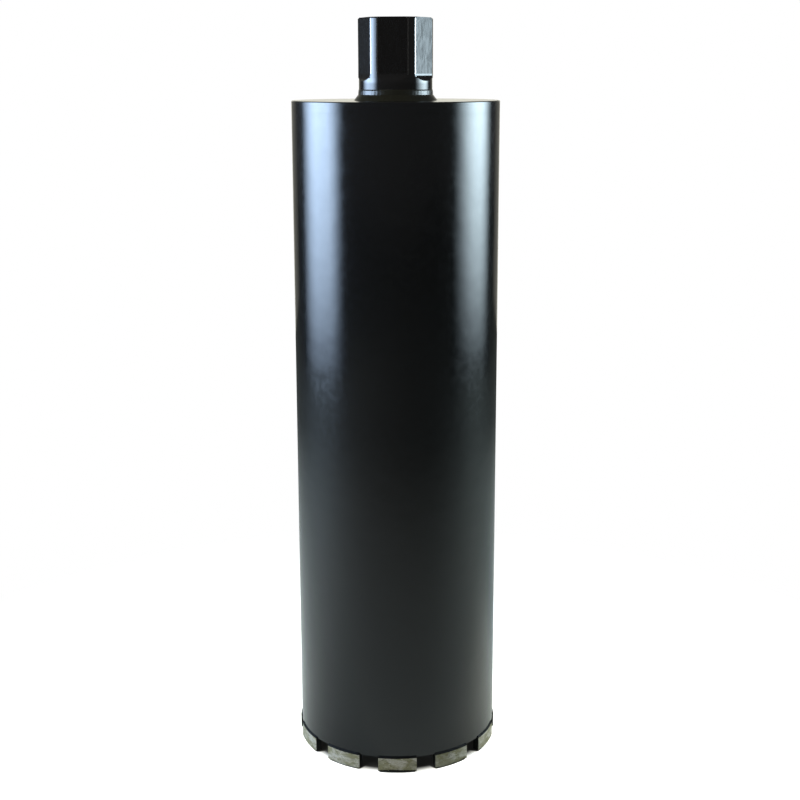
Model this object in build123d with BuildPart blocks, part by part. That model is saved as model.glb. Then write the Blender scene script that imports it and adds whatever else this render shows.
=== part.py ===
"""Diamond core bit for drilling concrete.

A thin steel barrel is closed on top by a welded end plate. A hub with six wrench flats and a
female spindle thread is welded on the plate, and a crown of sintered diamond segments is
silver-soldered to the barrel's lower rim.

The origin is the centre of the cutting ring and +Z runs up the bit's axis. Millimetres.
"""

import os
from math import degrees

from build123d import *

# Crown
crown_diameter = 127.0  # the hole that the bit drills
segment_count = 11
segment_length = 24.0  # along the outer arc
segment_height = 10.0
segment_edge_chamfer = 1.2  # all round the cutting face
outside_clearance = 0.8  # how far a segment stands proud of the barrel's outside
inside_clearance = 0.7  # how far it stands proud of the barrel's bore
first_segment_angle = -90.0  # the first segment faces -Y

# Silver solder under the barrel's rim
solder_gap = 0.2
solder_fillet = 1.2  # height of the fillet up the barrel's wall

# Barrel
barrel_wall = 2.5
drilling_depth = 400.0  # cutting face to the underside of the end plate

# End plate and the weld that closes the groove between it and the barrel
plate_thickness = 8.0
plate_spigot_height = 3.0  # the part of the plate that sits inside the barrel
plate_spigot_clearance = 0.1
plate_edge_chamfer = 0.5
weld_groove_depth = 1.5

# Hub
hub_height = 48.0
hub_diameter = 44.8
hub_edge_chamfer = 0.8
neck_height = 13.0
neck_diameter = 44.2
hub_spigot_diameter = 38.0
hub_spigot_clearance = 0.1

# Wrench flats, milled down from the hub's top
flat_count = 6
wrench_size = 41.0
flat_length = 32.6  # flat part, above the cutter's rounded run-out
flat_runout_radius = 6.0
flat_edge_break = 0.45  # chamfer along the sides of each flat
first_flat_angle = -94.75

# Spindle thread, 1 1/4 in - 7 UNC, and the water passage below it
thread_diameter = 31.75
thread_depth = 40.0
thread_chamfer = 1.5
water_bore_diameter = 26.0

# Weld round the foot of the hub: a steep band above a foot that flares over the plate
hub_weld_height = 6.4
hub_weld_width = 3.0
hub_weld_shoulder_height = 5.7
hub_weld_shoulder_width = 0.25
hub_weld_waist_height = 3.3
hub_weld_waist_width = 0.4

# Radii and levels that follow from these sizes
crown_radius = crown_diameter / 2
barrel_radius = crown_radius - outside_clearance
barrel_bore_radius = barrel_radius - barrel_wall
segment_inner_radius = barrel_bore_radius - inside_clearance
segment_sweep = degrees(segment_length / crown_radius)
hub_radius = hub_diameter / 2
neck_radius = neck_diameter / 2
hub_spigot_radius = hub_spigot_diameter / 2
thread_radius = thread_diameter / 2
water_bore_radius = water_bore_diameter / 2

barrel_foot = segment_height + solder_gap
barrel_top = drilling_depth + plate_spigot_height
plate_top = drilling_depth + plate_thickness
neck_top = plate_top + neck_height
hub_top = plate_top + hub_height
thread_end = hub_top - thread_depth
flat_foot = hub_top - flat_length - flat_runout_radius


def radial_plane(angle):
    """Plane through the axis, its x pointing outwards at the angle and its y pointing up."""
    outwards = Vector(1, 0, 0).rotate(Axis.Z, angle)
    return Plane(origin=(0, 0, 0), x_dir=outwards, z_dir=outwards.cross(Vector(0, 0, 1)))


def save(part, name):
    part.label = name
    export_step(part, f"parts/{name}.step")


def make_segment(start_angle):
    """One diamond segment, a curved block chamfered round its cutting face."""
    with BuildPart() as segment:
        with BuildSketch():
            with BuildLine():
                outer = CenterArc((0, 0), crown_radius, start_angle, segment_sweep)
                inner = CenterArc((0, 0), segment_inner_radius, start_angle, segment_sweep)
                Line(outer @ 0, inner @ 0)
                Line(outer @ 1, inner @ 1)
            make_face()
        extrude(amount=segment_height)
        cutting_face = segment.faces().sort_by(Axis.Z)[0]
        chamfer(cutting_face.edges(), length=segment_edge_chamfer)
    return segment.part


def make_braze(start_angle):
    """The solder joint on one segment: a film under the rim, with a fillet up each wall."""
    with BuildPart() as braze:
        with BuildSketch(radial_plane(start_angle)):
            Polygon(
                (segment_inner_radius, segment_height),
                (crown_radius, segment_height),
                (barrel_radius, segment_height + solder_fillet),
                (barrel_radius, barrel_foot),
                (barrel_bore_radius, barrel_foot),
                (barrel_bore_radius, segment_height + solder_fillet),
                align=None,
            )
        revolve(axis=Axis.Z, revolution_arc=segment_sweep)
    return braze.part


def is_flat_side(edge):
    """True for an edge that climbs along the hub's round outside, beside a wrench flat."""
    ends = [edge.position_at(end) for end in (0, 1)]
    on_outside = all(abs(Vector(end.X, end.Y).length - hub_radius) < 0.001 for end in ends)
    return on_outside and abs(ends[0].Z - ends[1].Z) > flat_edge_break


os.makedirs("parts", exist_ok=True)

# Barrel: a plain tube whose top is chamfered for the weld
with BuildPart() as barrel:
    with BuildSketch(Plane.XZ):
        Polygon(
            (barrel_bore_radius, barrel_foot),
            (barrel_radius, barrel_foot),
            (barrel_radius, barrel_top - weld_groove_depth),
            (barrel_radius - weld_groove_depth, barrel_top),
            (barrel_bore_radius, barrel_top),
            align=None,
        )
    revolve(axis=Axis.Z)
save(barrel.part, "barrel")

# End plate: its rim rests on the barrel, its spigot centres it, and the hub sits in its hole
plate_spigot_radius = barrel_bore_radius - plate_spigot_clearance
plate_hole_radius = hub_spigot_radius + hub_spigot_clearance
with BuildPart() as end_plate:
    with BuildSketch(Plane.XZ):
        Polygon(
            (plate_hole_radius, drilling_depth),
            (plate_spigot_radius, drilling_depth),
            (plate_spigot_radius, barrel_top),
            (barrel_radius - weld_groove_depth, barrel_top),
            (barrel_radius, barrel_top + weld_groove_depth),
            (barrel_radius, plate_top - plate_edge_chamfer),
            (barrel_radius - plate_edge_chamfer, plate_top),
            (plate_hole_radius, plate_top),
            align=None,
        )
    revolve(axis=Axis.Z)
save(end_plate.part, "end_plate")

# Weld between barrel and plate, dressed flush with their outside
with BuildPart() as plate_weld:
    with BuildSketch(Plane.XZ):
        Polygon(
            (barrel_radius - weld_groove_depth, barrel_top),
            (barrel_radius, barrel_top - weld_groove_depth),
            (barrel_radius, barrel_top + weld_groove_depth),
            align=None,
        )
    revolve(axis=Axis.Z)
save(plate_weld.part, "plate_weld")

# Hub: turned with its spigot, neck and bores, then milled with the wrench flats
thread_end_cone = thread_radius - water_bore_radius
with BuildPart() as hub:
    with BuildSketch(Plane.XZ):
        Polygon(
            (water_bore_radius, drilling_depth),
            (hub_spigot_radius, drilling_depth),
            (hub_spigot_radius, plate_top),
            (neck_radius, plate_top),
            (neck_radius, neck_top),
            (hub_radius, neck_top),
            (hub_radius, hub_top - hub_edge_chamfer),
            (hub_radius - hub_edge_chamfer, hub_top),
            (thread_radius + thread_chamfer, hub_top),
            (thread_radius, hub_top - thread_chamfer),
            (thread_radius, thread_end),
            (water_bore_radius, thread_end - thread_end_cone),
            align=None,
        )
    revolve(axis=Axis.Z)
    for flat in range(flat_count):
        flat_angle = first_flat_angle + flat * 360 / flat_count
        with BuildSketch(radial_plane(flat_angle)) as cut:
            with Locations((wrench_size / 2, flat_foot)):
                Rectangle(hub_radius, hub_height, align=(Align.MIN, Align.MIN))
            runout_corner = cut.vertices().group_by(Axis.Y)[0].sort_by(Axis.X)[0]
            fillet(runout_corner, radius=flat_runout_radius)
        extrude(amount=hub_radius, both=True, mode=Mode.SUBTRACT)
    chamfer(hub.edges().filter_by(is_flat_side), length=flat_edge_break)
save(hub.part, "hub")

# Weld round the foot of the hub
with BuildPart() as hub_weld:
    with BuildSketch(Plane.XZ):
        Polygon(
            (neck_radius, plate_top),
            (neck_radius + hub_weld_width, plate_top),
            (neck_radius + hub_weld_waist_width, plate_top + hub_weld_waist_height),
            (neck_radius + hub_weld_shoulder_width, plate_top + hub_weld_shoulder_height),
            (neck_radius, plate_top + hub_weld_height),
            align=None,
        )
    revolve(axis=Axis.Z)
save(hub_weld.part, "hub_weld")

# Crown: each segment with its solder joint
for number in range(segment_count):
    middle_angle = first_segment_angle + number * 360 / segment_count
    start_angle = middle_angle - segment_sweep / 2
    save(make_segment(start_angle), f"segment_{number + 1:02d}")
    save(make_braze(start_angle), f"braze_{number + 1:02d}")
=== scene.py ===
"""Looks of the diamond core bit: paint, ground segments, grit, thread, light, floor and camera.

Everything is in metres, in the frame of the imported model: the origin at the centre of the
cutting ring, +Z up the bit's axis. Azimuths are measured from the camera's side, -Y, and are
positive towards +X.
"""

import math
import random

import bmesh
import bpy
from mathutils import Matrix, Vector


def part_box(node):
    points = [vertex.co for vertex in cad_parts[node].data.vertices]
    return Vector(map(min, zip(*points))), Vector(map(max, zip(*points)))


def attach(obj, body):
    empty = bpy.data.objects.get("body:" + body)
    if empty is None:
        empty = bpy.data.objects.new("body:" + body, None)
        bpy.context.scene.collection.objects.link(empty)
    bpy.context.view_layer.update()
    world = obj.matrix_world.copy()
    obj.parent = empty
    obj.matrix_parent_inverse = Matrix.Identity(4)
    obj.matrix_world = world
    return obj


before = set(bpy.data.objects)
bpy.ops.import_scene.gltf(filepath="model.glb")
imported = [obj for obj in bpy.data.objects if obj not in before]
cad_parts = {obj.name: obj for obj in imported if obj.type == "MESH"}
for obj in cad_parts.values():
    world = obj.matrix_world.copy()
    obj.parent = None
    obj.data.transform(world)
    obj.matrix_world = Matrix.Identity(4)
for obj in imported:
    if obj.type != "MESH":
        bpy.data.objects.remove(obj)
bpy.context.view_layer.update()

MM = 0.001
SEED = 7

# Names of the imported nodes
BARREL_PIECES = ("barrel", "end_plate", "plate_weld")
SEGMENTS = [f"segment_{number:02d}" for number in range(1, 12)]
BRAZES = [f"braze_{number:02d}" for number in range(1, 12)]

# Sizes read from the frame
barrel_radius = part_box("barrel")[1].x
plate_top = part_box("end_plate")[1].z
hub_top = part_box("hub")[1].z
crown_radius = -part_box("segment_01")[0].y
segment_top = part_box("segment_01")[1].z
segment_half_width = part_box("segment_01")[1].x

# Thread of the hub, 1 1/4 in - 7 UNC: its root lies just behind the wall of the plain bore
THREAD_PITCH = 25.4 * MM / 7
THREAD_MAJOR_RADIUS = 15.9 * MM
THREAD_MINOR_RADIUS = 13.9 * MM
THREAD_BOTTOM = hub_top - 38.4 * MM
THREAD_TOP = hub_top - 3.1 * MM
THREAD_FADE_TURNS = 0.5
THREAD_STEPS_PER_TURN = 64

# Diamond crystals that stand out of the ground faces, clear of each face's edges
GRIT_PER_FACE = 70
GRIT_SIZE = (0.12 * MM, 0.30 * MM)  # from centre to corner, before it is stretched at random
GRIT_DEPTH = 0.06 * MM  # of a crystal's centre under the face
GRIT_LOW_MARGIN = 1.6 * MM
GRIT_TOP_MARGIN = 1.3 * MM
GRIT_END_MARGIN = 1.0 * MM

# Wrench flats of the hub, with angles in degrees
FLAT_COUNT = 6
FIRST_FLAT_ANGLE = -94.75  # which way the first flat faces, counter-clockwise from +X
FLAT_HALF_ANGLE = 23.8  # from a flat's middle to its edge, seen from the axis
FLAT_LENGTH = 32.6 * MM  # above the cutter's rounded run-out
HUB_SIDE_START = 21.6 * MM  # the radius of the hub's level top face, inside its bevel

# Camera: a square picture, its lens given as a focal length in pixels, and angles in radians
IMAGE_SIZE = 800
FOCAL_PIXELS = 1358.9
CAMERA_DISTANCE = 0.8330
CAMERA_HEIGHT = 0.4233
CAMERA_PITCH = 0.2130
CAMERA_ROLL = -0.0021
AXIS_PIXEL = 396.3  # the column in which the bit's axis shows
SHIFT_DOWN = 0.04  # a share of the picture's width
SENSOR_WIDTH = 36.0

# Studio: a dark room round a floor, two curved softboxes and a pale card behind
ROOM_STRENGTH = 0.07
FLOOR_REACH = 3.0
SOFTBOX_DISTANCE = 1.2
SOFTBOX_TOP = 0.62
SOFTBOX_FULL_HEIGHT = 0.42  # the height at which its glow is full
SOFTBOX_STEPS = 24
CARD_DISTANCE = 1.4
CARD_HALF_WIDTH = 1.2
CARD_HEIGHT = 1.2

# Colours
BLACK = (0, 0, 0, 1)
WHITE = (1, 1, 1, 1)
DEEP_BLACK_PAINT = (0.0045, 0.0048, 0.005, 1)
THIN_BLACK_PAINT = (0.0062, 0.0058, 0.0054, 1)
# Paler than the outside paint: painted light on the barrel's inside wall
BORE_PAINT_WITH_PAINTED_LIGHT = (0.02, 0.02, 0.017, 1)
# The weld paint's olive tint is a painted reflection
WELD_PAINT_WITH_PAINTED_REFLECTION = (0.008, 0.0078, 0.004, 1)
SOLDER_PAINT = (0.003, 0.003, 0.003, 1)
WORN_SOLDER_PAINT = (0.015, 0.014, 0.01, 1)
SEGMENT_PAINT = (0.008, 0.008, 0.007, 1)
RUBBED_STEEL = (0.55, 0.54, 0.52, 1)
BARE_STEEL = (0.32, 0.31, 0.29, 1)
OLIVE_METAL = (0.18, 0.168, 0.088, 1)
GREY_METAL = (0.37, 0.352, 0.29, 1)
DARK_METAL = (0.07, 0.062, 0.034, 1)
PALE_METAL = (0.6, 0.58, 0.48, 1)
DIAMOND = (0.3, 0.29, 0.2, 1)


class Graph:
    """A small helper that adds and links the nodes of one material or world."""

    def __init__(self, tree):
        self.tree = tree
        tree.nodes.clear()

    def add(self, kind, inputs=None, **settings):
        node = self.tree.nodes.new(kind)
        for name, value in settings.items():
            setattr(node, name, value)
        for name, value in (inputs or {}).items():
            self.put(node.inputs[name], value)
        return node

    def put(self, socket, value):
        if isinstance(value, bpy.types.NodeSocket):
            self.tree.links.new(value, socket)
        else:
            socket.default_value = value

    def math(self, operation, a, b=0.0):
        return self.add("ShaderNodeMath", {0: a, 1: b}, operation=operation).outputs[0]

    def plus(self, a, b):
        return self.math("ADD", a, b)

    def minus(self, a, b):
        return self.math("SUBTRACT", a, b)

    def times(self, a, b):
        return self.math("MULTIPLY", a, b)

    def ramp(self, value, low, high, start=0.0, end=1.0, **settings):
        """A straight slope from start to end while value goes from low to high."""
        inputs = {"Value": value, "From Min": low, "From Max": high, "To Min": start, "To Max": end}
        return self.add("ShaderNodeMapRange", inputs, **settings).outputs[0]

    def smooth(self, value, low, high, start=0.0, end=1.0):
        """A smooth step from start to end while value goes from low to high."""
        return self.ramp(value, low, high, start, end, interpolation_type="SMOOTHSTEP")

    def noise(self, vector, scale, detail=2.0, roughness=0.5, distortion=0.0):
        inputs = {"Vector": vector, "Scale": scale, "Detail": detail, "Roughness": roughness}
        inputs["Distortion"] = distortion
        return self.add("ShaderNodeTexNoise", inputs).outputs[0]

    def scaled(self, vector, scale, turn=0.0):
        """The vector turned about Z, in degrees, and scaled. A small scale draws a noise out."""
        inputs = {"Vector": vector, "Rotation": (0, 0, math.radians(turn)), "Scale": scale}
        return self.add("ShaderNodeMapping", inputs).outputs[0]

    def mix(self, factor, a, b):
        node = self.add("ShaderNodeMix", data_type="RGBA")
        self.put(node.inputs["Factor"], factor)
        for name, value in (("A", a), ("B", b)):
            socket = [s for s in node.inputs if s.name == name and s.type == "RGBA"][0]
            self.put(socket, value)
        return [s for s in node.outputs if s.type == "RGBA"][0]

    def bump(self, height, strength, distance, normal=None):
        inputs = {"Height": height, "Strength": strength, "Distance": distance}
        if normal is not None:
            inputs["Normal"] = normal
        return self.add("ShaderNodeBump", inputs).outputs[0]

    def position(self):
        """Object position, its height, the distance from the axis and the azimuth in radians."""
        vector = self.add("ShaderNodeTexCoord").outputs["Object"]
        x, y, z = self.add("ShaderNodeSeparateXYZ", {0: vector}).outputs
        radius = self.math("SQRT", self.plus(self.times(x, x), self.times(y, y)))
        azimuth = self.math("ARCTAN2", x, self.times(y, -1.0))
        return vector, z, radius, azimuth

    def blend(self, factor, first, second):
        """The first shader where factor is 0, and the second where it is 1."""
        inputs = {0: factor, 1: first.outputs[0], 2: second.outputs[0]}
        return self.add("ShaderNodeMixShader", inputs)

    def emission(self, colour, strength):
        return self.add("ShaderNodeEmission", {"Color": colour, "Strength": strength})

    def surface(self, shader):
        """Makes the shader the surface of the material."""
        self.add("ShaderNodeOutputMaterial", {"Surface": shader.outputs[0]})

    def principled(self, inputs):
        """Makes a principled shader with these inputs the surface of the material."""
        self.surface(self.add("ShaderNodeBsdfPrincipled", inputs))


def new_material(name):
    material = bpy.data.materials.new(name)
    material.use_nodes = True
    return material, Graph(material.node_tree)


def dress(nodes, material):
    """Gives CAD nodes their material, in every slot."""
    for node in nodes:
        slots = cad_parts[node].data.materials
        if not slots:
            slots.append(material)
        for index in range(len(slots)):
            slots[index] = material


def link_object(name, data):
    made = bpy.data.objects.new(name, data)
    bpy.context.scene.collection.objects.link(made)
    return made


def new_object(name, vertices, faces, material):
    mesh = bpy.data.meshes.new(name)
    mesh.from_pydata(vertices, [], faces)
    mesh.materials.append(material)
    return link_object(name, mesh)


# ---------------------------------------------------------------- camera
def make_camera():
    data = bpy.data.cameras.new("camera")
    data.sensor_width = SENSOR_WIDTH
    data.lens = FOCAL_PIXELS / IMAGE_SIZE * SENSOR_WIDTH
    data.shift_y = -SHIFT_DOWN
    data.clip_start = 0.01
    data.clip_end = 50
    camera = link_object("camera", data)
    yaw = math.atan((IMAGE_SIZE / 2 - AXIS_PIXEL) / FOCAL_PIXELS)
    turn = (
        Matrix.Rotation(-yaw, 4, "Z")
        @ Matrix.Rotation(math.pi / 2 - CAMERA_PITCH, 4, "X")
        @ Matrix.Rotation(CAMERA_ROLL, 4, "Z")
    )
    camera.matrix_world = Matrix.Translation((0, -CAMERA_DISTANCE, CAMERA_HEIGHT)) @ turn
    bpy.context.scene.camera = camera


# ---------------------------------------------------------------- studio
def reflected_sheet(g, radius, azimuth):
    """The floor to all but the camera: a white sheet with painted shade, darker outwards and in
    front.
    """
    facing = g.math("COSINE", azimuth)
    # Painted shade: the sheet darkens outwards, and in front of the bit its nearer part is darker
    # still.
    in_front = g.smooth(radius, 0.7, 1.2, 0.42, 0.9)
    front = g.smooth(facing, -0.2, 1.0, 1.0, in_front)
    sheet = g.ramp(radius, 0.12, 0.84, 0.85, 0.13)
    colour = g.mix(g.times(front, sheet), BLACK, (0.98, 1.0, 0.89, 1))
    return g.add("ShaderNodeBsdfDiffuse", {"Color": colour})


def white_with_painted_shadow(g, radius, azimuth):
    """The floor to the camera: white, with a painted shadow of the bit inside the crown and in its
    gaps.
    """
    round_crown = g.math("COSINE", g.times(azimuth, float(len(SEGMENTS))))
    gap = g.smooth(round_crown, -0.75, -0.3, 1.0, 0.0)
    # Painted shadow: the floor is dark inside the crown and fades to white near its rim; below the
    # gaps the fade starts further in and is softer.
    painted_shadow_start = g.minus(crown_radius - 1 * MM, g.times(gap, 6 * MM))
    reach = g.plus(0.5 * MM, g.times(gap, 6.5 * MM))
    outwards = g.math("DIVIDE", g.minus(radius, painted_shadow_start), reach)
    colour = g.mix(g.smooth(outwards, 0.0, 1.0), (0.05, 0.05, 0.047, 1), (0.8, 0.8, 0.8, 1))
    diffuse = g.add("ShaderNodeBsdfDiffuse", {"Color": colour})
    lift = g.emission((1, 1, 0.9, 1), g.smooth(outwards, 0.0, 1.0, 0.006, 0.85))
    near = g.add("ShaderNodeAddShader", {0: diffuse.outputs[0], 1: lift.outputs[0]})
    return g.blend(g.smooth(radius, 0.15, 0.4), near, g.emission(WHITE, 1.0))


def floor_material():
    """White with a painted shadow to the camera, a pale sheet with painted shade to all else, and
    clear from below.
    """
    material, g = new_material("floor")
    _, _, radius, azimuth = g.position()
    to_camera = g.add("ShaderNodeLightPath").outputs["Is Camera Ray"]
    from_below = g.add("ShaderNodeNewGeometry").outputs["Backfacing"]
    sheet = reflected_sheet(g, radius, azimuth)
    from_above = g.blend(to_camera, sheet, white_with_painted_shadow(g, radius, azimuth))
    g.surface(g.blend(from_below, from_above, g.add("ShaderNodeBsdfTransparent")))
    return material


def make_floor():
    corners = [(x * FLOOR_REACH, y * FLOOR_REACH, 0) for x, y in ((-1, -1), (1, -1), (1, 1), (-1, 1))]
    new_object("floor", corners, [(0, 1, 2, 3)], floor_material())


def make_world():
    """A dark room, which is white to the camera."""
    world = bpy.data.worlds.new("studio")
    bpy.context.scene.world = world
    world.use_nodes = True
    g = Graph(world.node_tree)
    to_camera = g.add("ShaderNodeLightPath").outputs["Is Camera Ray"]
    room = g.add("ShaderNodeBackground", {"Color": WHITE, "Strength": ROOM_STRENGTH})
    seen = g.add("ShaderNodeBackground", {"Color": WHITE, "Strength": 1.0})
    both = g.blend(to_camera, room, seen)
    g.add("ShaderNodeOutputWorld", {"Surface": both.outputs[0]})


def softbox_material(name, rise, fall, foot, growth, strength, colour):
    """A glow that fades towards the panel's sides and its foot."""
    material, g = new_material(name)
    _, z, _, azimuth = g.position()
    side = g.math("ABSOLUTE", azimuth)
    near_side = g.smooth(side, math.radians(rise[0]), math.radians(rise[1]))
    far_side = g.smooth(side, math.radians(fall[0]), math.radians(fall[1]), 1.0, 0.0)
    upwards = g.math("POWER", g.ramp(z, foot, SOFTBOX_FULL_HEIGHT), growth)
    glow = g.times(g.times(g.times(near_side, far_side), upwards), strength)
    g.surface(g.emission((*colour, 1), glow))
    return material


def make_softbox(name, side, rise, fall, foot, growth, strength, colour):
    """A curved panel round the bit, on the left (side -1) or the right (side 1).

    Its glow rises and falls between the azimuths given, in degrees, and grows from its foot up.
    """
    low, high = math.radians(rise[0]), math.radians(fall[1])
    corners = []
    for step in range(SOFTBOX_STEPS + 1):
        a = low + (high - low) * step / SOFTBOX_STEPS
        x, y = side * SOFTBOX_DISTANCE * math.sin(a), -SOFTBOX_DISTANCE * math.cos(a)
        corners += [(x, y, foot), (x, y, SOFTBOX_TOP)]
    faces = [(2 * i, 2 * i + 2, 2 * i + 3, 2 * i + 1) for i in range(SOFTBOX_STEPS)]
    material = softbox_material(name, rise, fall, foot, growth, strength, colour)
    panel = new_object(name, corners, faces, material)
    panel.visible_camera = False


def make_backdrop():
    """The pale card behind the bit, which its shiny top shows, with dim wings at its sides."""
    material, g = new_material("backdrop")
    _, _, _, azimuth = g.position()
    off_middle = g.minus(math.pi, g.math("ABSOLUTE", azimuth))
    middle = g.smooth(off_middle, 0.2, 0.38, 0.8, 0.0)
    wing = g.smooth(off_middle, 0.5, 0.72, 0.25, 0.15)
    g.surface(g.emission((1.0, 0.985, 0.86, 1), g.plus(middle, wing)))
    left, right = -CARD_HALF_WIDTH, CARD_HALF_WIDTH
    outline = ((left, 0), (right, 0), (right, CARD_HEIGHT), (left, CARD_HEIGHT))
    corners = [(x, CARD_DISTANCE, z) for x, z in outline]
    card = new_object("backdrop", corners, [(0, 1, 2, 3)], material)
    card.visible_camera = False


def make_soft_lamp(name, size, energy, spread, place, target):
    """A soft lamp which leaves no shine. Its light spreads over the angle given, in degrees."""
    data = bpy.data.lights.new(name, "AREA")
    data.shape = "SQUARE"
    data.size = size
    data.energy = energy
    data.spread = math.radians(spread)
    lamp = link_object(name, data)
    lamp.location = place
    aim = Vector(target) - Vector(place)
    lamp.rotation_euler = aim.to_track_quat("-Z", "Y").to_euler()
    lamp.visible_glossy = False


# ---------------------------------------------------------------- materials
def orange_peel(g, vector, strength):
    """The fine waviness of sprayed paint, with a longer swell under it."""
    swell = g.bump(g.noise(vector, 70.0, 1.0), strength * 0.6, 0.6 * MM)
    return g.bump(g.noise(vector, 900.0, 2.0), strength, 0.02 * MM, swell)


def turning_rings(g, vector, detail, roughness):
    """The fine rings that a lathe tool leaves round the axis."""
    return g.noise(g.scaled(vector, (0.01, 0.01, 1.0)), 900.0, detail, roughness)


def black_paint():
    """Glossy black paint: turning marks show under the end plate's rim. In the bore it is dull, and
    paler as painted light.
    """
    material, g = new_material("black_paint")
    vector, z, radius, _ = g.position()
    inside = g.smooth(radius, barrel_radius - 2.2 * MM, barrel_radius - 1.2 * MM, 1.0, 0.0)
    below_plate = g.smooth(z, plate_top - 6 * MM, plate_top - 3 * MM, 1.0, 0.0)
    # The paint is paler on the barrel's inside wall, as painted light.
    in_bore = g.times(inside, below_plate)
    dust = g.smooth(g.noise(vector, 260.0, 3.0), 0.35, 0.7, 0.0, 0.05)
    under_rim = g.smooth(z, plate_top - 9 * MM, plate_top - 5 * MM)
    turning = g.times(turning_rings(g, vector, 3.0, 0.7), under_rim)
    g.principled(
        {
            "Base Color": g.mix(in_bore, DEEP_BLACK_PAINT, BORE_PAINT_WITH_PAINTED_LIGHT),
            "Roughness": g.plus(g.plus(0.13, dust), g.times(in_bore, 0.3)),
            "Specular IOR Level": 0.75,
            "Normal": g.bump(turning, 0.8, 0.06 * MM, orange_peel(g, vector, 0.25)),
        }
    )
    return material


def solder_paint():
    """Dull black paint over the lumpy solder joints."""
    material, g = new_material("solder_paint")
    vector = g.position()[0]
    lumps = g.noise(vector, 900.0, 3.0, 0.6)
    g.principled(
        {
            "Base Color": g.mix(g.smooth(lumps, 0.55, 0.75), SOLDER_PAINT, WORN_SOLDER_PAINT),
            "Roughness": 0.65,
            "Specular IOR Level": 0.12,
            "Normal": g.bump(lumps, 0.8, 0.3 * MM),
        }
    )
    return material


def flat_mask(g, beside_flat):
    """1 on the milled flats, found by the way the surface faces, and 0 elsewhere."""
    normal = g.add("ShaderNodeNewGeometry").outputs["True Normal"]
    nx, ny, nz = g.add("ShaderNodeSeparateXYZ", {0: normal}).outputs
    turned = g.minus(g.math("ARCTAN2", ny, nx), math.radians(FIRST_FLAT_ANGLE))
    wave = g.math("COSINE", g.times(turned, FLAT_COUNT))
    on_flat = g.times(g.smooth(wave, 0.97, 0.995), beside_flat)
    upright = g.smooth(g.math("ABSOLUTE", nz), 0.02, 0.1, 1.0, 0.0)
    return g.times(on_flat, upright)


def rubbed_edge_mask(g, vector, radius, azimuth, beside_flat):
    """1 along the ragged strips at the flats' sides where the paint is rubbed off."""
    around = g.minus(azimuth, math.radians(FIRST_FLAT_ANGLE + 90))
    wave = g.math("COSINE", g.times(around, FLAT_COUNT))
    wave_at_edge = math.cos(math.radians(FLAT_COUNT * FLAT_HALF_ANGLE))
    ragged = g.times(g.minus(g.noise(vector, 900.0, 3.0), 0.5), 0.15)
    off_edge = g.math("ABSOLUTE", g.plus(g.minus(wave, wave_at_edge), ragged))
    on_side = g.times(beside_flat, g.smooth(radius, HUB_SIDE_START, HUB_SIDE_START + 0.3 * MM))
    return g.times(g.smooth(off_edge, 0.01, 0.035, 1.0, 0.0), on_side)


def hub_paint():
    """Thin paint on a turned hub, with cutter marks on the flats and bare steel in the bore."""
    material, g = new_material("hub_paint")
    vector, z, radius, azimuth = g.position()
    wall = THREAD_MAJOR_RADIUS + 0.5 * MM
    bore = g.smooth(radius, wall, wall + 1 * MM, 1.0, 0.0)
    flat_foot = hub_top - FLAT_LENGTH
    beside_flat = g.smooth(z, flat_foot - 0.5 * MM, flat_foot + 0.5 * MM)
    neck = g.smooth(z, flat_foot - 6 * MM, flat_foot - 4 * MM, 1.0, 0.0)
    flat = flat_mask(g, beside_flat)
    rubbed = rubbed_edge_mask(g, vector, radius, azimuth, beside_flat)
    bare = g.math("MAXIMUM", bore, g.times(rubbed, 0.8))
    steel = g.mix(bore, RUBBED_STEEL, BARE_STEEL)
    blotches = g.noise(g.scaled(vector, (1.0, 1.0, 0.35)), 260.0, 3.0, 0.6, 1.5)
    bands = g.smooth(blotches, 0.35, 0.65)
    specks = g.smooth(g.noise(vector, 1500.0, 2.0), 0.6, 0.7)
    dull = g.plus(g.times(bands, 0.05), g.times(specks, 0.06))
    flat_roughness = g.times(flat, g.plus(0.08, dull))
    thin = g.times(flat, g.plus(0.45, g.times(bands, 0.16)))
    less_shine = g.plus(thin, g.times(neck, 0.28))
    turning = g.times(turning_rings(g, vector, 2.0, 0.6), neck)
    turned_marks = g.bump(turning, 0.5, 0.05 * MM, orange_peel(g, vector, 0.2))
    streaks = g.noise(g.scaled(vector, (1.0, 1.0, 0.06)), 2600.0, 3.0, 0.6)
    g.principled(
        {
            "Base Color": g.mix(bare, THIN_BLACK_PAINT, steel),
            "Metallic": g.smooth(bare, 0.0, 0.25),
            "Roughness": g.plus(g.plus(0.12, flat_roughness), g.times(bore, 0.24)),
            "Specular IOR Level": g.minus(0.75, less_shine),
            "Normal": g.bump(g.times(streaks, flat), 0.5, 0.02 * MM, turned_marks),
        }
    )
    return material


def weld_paint():
    """Paint over a weld bead, which ripples along its run. Its olive tint is a painted reflection."""
    material, g = new_material("weld_paint")
    vector, _, _, azimuth = g.position()
    ripples = g.math("SINE", g.times(azimuth, 60.0))
    height = g.plus(g.times(ripples, 0.25), g.noise(vector, 300.0, 2.0))
    g.principled(
        {
            "Base Color": WELD_PAINT_WITH_PAINTED_REFLECTION,
            "Roughness": 0.3,
            "Specular IOR Level": 0.75,
            "Normal": g.bump(height, 0.35, 0.2 * MM),
        }
    )
    return material


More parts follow.
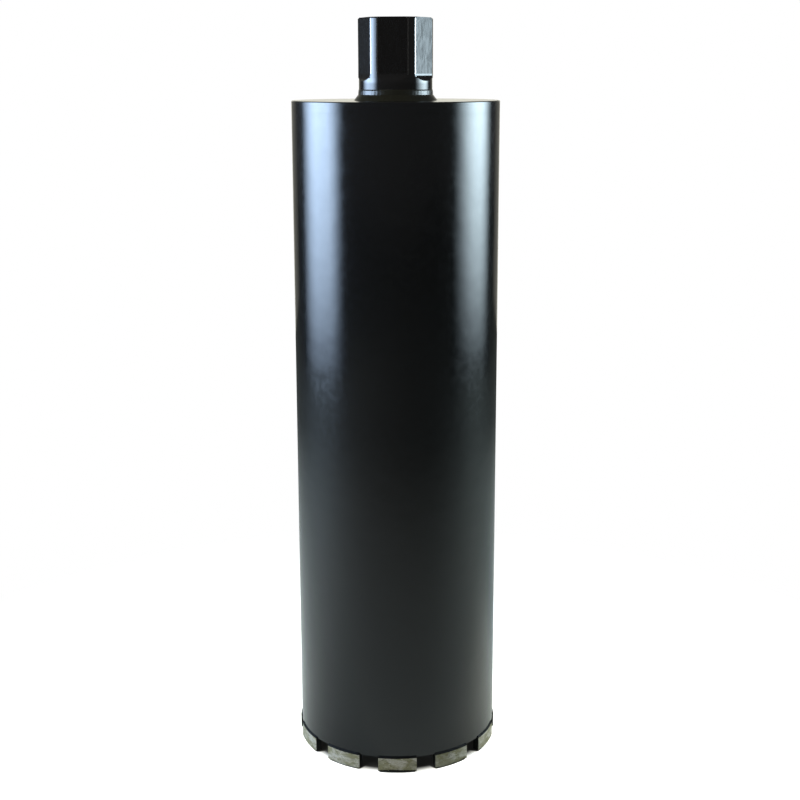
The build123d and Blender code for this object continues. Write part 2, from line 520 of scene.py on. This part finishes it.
def ground_mask(g, vector, z, radius, number):
    """1 on a segment's ground face, whose dark lower rim wanders and is thick on some."""
    outside = g.smooth(radius, crown_radius - 0.25 * MM, crown_radius - 0.1 * MM)
    bevel = g.smooth(radius, crown_radius - 1.3 * MM, crown_radius - 1.1 * MM)
    low_bevel = g.times(bevel, g.smooth(z, 1.1 * MM, 1.3 * MM, 1.0, 0.0))
    face = g.math("MAXIMUM", outside, low_bevel)
    ragged = g.times(g.minus(g.noise(vector, 700.0, 3.0), 0.5), 0.6 * MM)
    edge_height = g.plus(z, ragged)
    top = segment_top - 0.2 * MM
    below_paint = g.smooth(edge_height, top - 0.2 * MM, top, 1.0, 0.0)
    wander = g.times(g.noise(vector, 50.0, 2.0), 4.5 * MM)
    thick = g.math("MAXIMUM", g.math("COSINE", g.times(number, 1.9)), 0.0)
    rim = g.plus(wander, g.times(thick, 1.2 * MM))
    above_rim = g.smooth(g.minus(edge_height, rim), -1.5 * MM, -1.1 * MM)
    return g.times(face, g.times(below_paint, above_rim))


def sintered_colour(g, vector, z, radius, azimuth, number):
    """Olive and grey blotches, dark swirls and pale strokes. Each segment is lighter or darker, and
    more or less olive, by its place round the crown: painted light and shade.
    """
    along = g.times(azimuth, crown_radius)
    unrolled = g.add("ShaderNodeCombineXYZ", {0: along, 1: z, 2: radius}).outputs[0]
    slant = g.scaled(unrolled, (0.45, 1.0, 1.0), 35)
    blotches = g.smooth(g.noise(slant, 260.0, 3.0, 0.5, 0.6), 0.38, 0.62)
    swirls = g.smooth(g.noise(slant, 520.0, 2.0, 0.5, 2.0), 0.5, 0.66)
    stains = g.smooth(g.noise(vector, 110.0, 3.0), 0.45, 0.65)
    strokes = g.smooth(g.noise(slant, 420.0, 2.0, 0.4, 2.5), 0.6, 0.7)
    # Painted light and shade: each segment's brightness and olive share follow its place round the
    # crown.
    painted_light_swing = g.math("COSINE", g.plus(g.times(number, 1.2), 1.2))
    olive_share = g.minus(0.45, g.times(painted_light_swing, 0.22))
    colour = g.mix(blotches, OLIVE_METAL, GREY_METAL)
    colour = g.mix(g.times(swirls, 0.5), colour, DARK_METAL)
    colour = g.mix(g.times(stains, olive_share), colour, OLIVE_METAL)
    colour = g.mix(g.times(strokes, 0.4), colour, PALE_METAL)
    painted_light_tone = g.plus(0.93, g.times(painted_light_swing, 0.13))
    return g.mix(painted_light_tone, BLACK, colour)


def segment_metal():
    """Sintered metal, ground bare on the outside and painted black elsewhere."""
    material, g = new_material("segment_metal")
    vector, z, radius, azimuth = g.position()
    number = g.math("ROUND", g.times(azimuth, len(SEGMENTS) / (2 * math.pi)))
    ground = ground_mask(g, vector, z, radius, number)
    bare = sintered_colour(g, vector, z, radius, azimuth, number)
    pits = g.noise(vector, 1500.0, 3.0, 0.6)
    g.principled(
        {
            "Base Color": g.mix(ground, SEGMENT_PAINT, bare),
            "Metallic": g.times(ground, 0.08),
            "Roughness": 0.5,
            "Specular IOR Level": g.plus(0.15, g.times(ground, 0.35)),
            "Normal": g.bump(pits, 0.4, 0.05 * MM),
        }
    )
    return material


def bare_steel():
    """Bare turned steel, for the thread."""
    material, g = new_material("thread_steel")
    vector = g.position()[0]
    roughness = g.smooth(g.noise(vector, 500.0), 0.3, 0.7, 0.28, 0.42)
    g.principled({"Base Color": BARE_STEEL, "Metallic": 1.0, "Roughness": roughness})
    return material


def grit_crystal():
    """Dull yellowish diamond."""
    material, g = new_material("diamond_grit")
    g.principled({"Base Color": DIAMOND, "Roughness": 0.25, "IOR": 2.0})
    return material


# ---------------------------------------------------------------- pieces
def make_thread(material):
    """The ridge of the female thread: one right-hand helix on the wall of the bore."""
    turns = (THREAD_TOP - THREAD_BOTTOM) / THREAD_PITCH
    steps = round(turns * THREAD_STEPS_PER_TURN)
    fade = THREAD_FADE_TURNS * THREAD_STEPS_PER_TURN
    height = THREAD_MAJOR_RADIUS - THREAD_MINOR_RADIUS
    root_half, crest_half = THREAD_PITCH * 7 / 16, THREAD_PITCH / 8
    vertices = []
    for step in range(steps + 1):
        a = 2 * math.pi * step / THREAD_STEPS_PER_TURN
        middle = THREAD_BOTTOM + THREAD_PITCH * step / THREAD_STEPS_PER_TURN
        depth = min(1.0, step / fade, (steps - step) / fade)
        crest = THREAD_MAJOR_RADIUS - height * max(depth, 0.02)
        profile = (
            (THREAD_MAJOR_RADIUS, -root_half),
            (crest, -crest_half),
            (crest, crest_half),
            (THREAD_MAJOR_RADIUS, root_half),
        )
        for radius, rise in profile:
            vertices.append((radius * math.cos(a), radius * math.sin(a), middle + rise))
    faces = [(3, 2, 1, 0)]
    for step in range(steps):
        first, second = 4 * step, 4 * step + 4
        for side in range(4):
            after = (side + 1) % 4
            faces.append((first + side, first + after, second + after, second + side))
    last = 4 * steps
    faces.append((last, last + 1, last + 2, last + 3))
    ridge = new_object("thread_ridge", vertices, faces, material)
    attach(ridge, "root")


def add_crystal(mesh, place, size, chance):
    """One octahedral crystal, turned any way."""
    turn = Matrix.Rotation(chance.uniform(0, math.pi), 4, "Z") @ Matrix.Rotation(
        chance.uniform(0, math.pi), 4, "X"
    )
    scale = [size * chance.uniform(0.8, 1.2) for _ in range(3)]
    points = []
    for axis in range(3):
        for sign in (-1, 1):
            corner = Vector((0, 0, 0))
            corner[axis] = sign * scale[axis]
            points.append(mesh.verts.new(Vector(place) + turn @ corner))
    left, right, front, back, low, high = points
    ring = (left, front, right, back)
    for index in range(4):
        a, b = ring[index], ring[(index + 1) % 4]
        mesh.faces.new((a, b, high))
        mesh.faces.new((b, a, low))


def make_grit(material):
    """Crystals set in the ground outer face of each segment."""
    chance = random.Random(SEED)
    half_angle = math.asin(segment_half_width / crown_radius) - GRIT_END_MARGIN / crown_radius
    radius = crown_radius - GRIT_DEPTH
    for index in range(len(SEGMENTS)):
        middle = -math.pi / 2 + 2 * math.pi * index / len(SEGMENTS)
        mesh = bmesh.new()
        for _ in range(GRIT_PER_FACE):
            a = middle + chance.uniform(-half_angle, half_angle)
            z = chance.uniform(GRIT_LOW_MARGIN, segment_top - GRIT_TOP_MARGIN)
            size = chance.uniform(*GRIT_SIZE)
            add_crystal(mesh, (radius * math.cos(a), radius * math.sin(a), z), size, chance)
        data = bpy.data.meshes.new(f"grit_{index + 1:02d}")
        mesh.to_mesh(data)
        mesh.free()
        data.materials.append(material)
        grit = link_object(data.name, data)
        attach(grit, "root")


# ---------------------------------------------------------------- the scene
bpy.context.scene.view_settings.view_transform = "Standard"
make_camera()
make_world()
make_floor()
make_backdrop()
make_softbox(
    "softbox_left",
    side=-1,
    rise=(56, 80),
    fall=(92, 124),
    foot=-0.02,
    growth=0.85,
    strength=18.3,
    colour=(0.56, 0.74, 1.0),
)
make_softbox(
    "softbox_right",
    side=1,
    rise=(62, 96),
    fall=(100, 127),
    foot=-0.01,
    growth=1.2,
    strength=16.6,
    colour=(0.72, 0.90, 1.0),
)
make_soft_lamp(
    "fill",
    size=0.8,
    energy=14.0,
    spread=180,
    place=(-0.65, -0.68, 1.0),
    target=(0, 0, 0.2),
)
make_soft_lamp(
    "crown_light",
    size=0.1,
    energy=0.08,
    spread=16,
    place=(0.75, 0.38, 0.25),
    target=(0.05, 0, 0),
)

dress(BARREL_PIECES, black_paint())
dress(BRAZES, solder_paint())
dress(["hub"], hub_paint())
dress(["hub_weld"], weld_paint())
dress(SEGMENTS, segment_metal())
make_thread(bare_steel())
make_grit(grit_crystal())
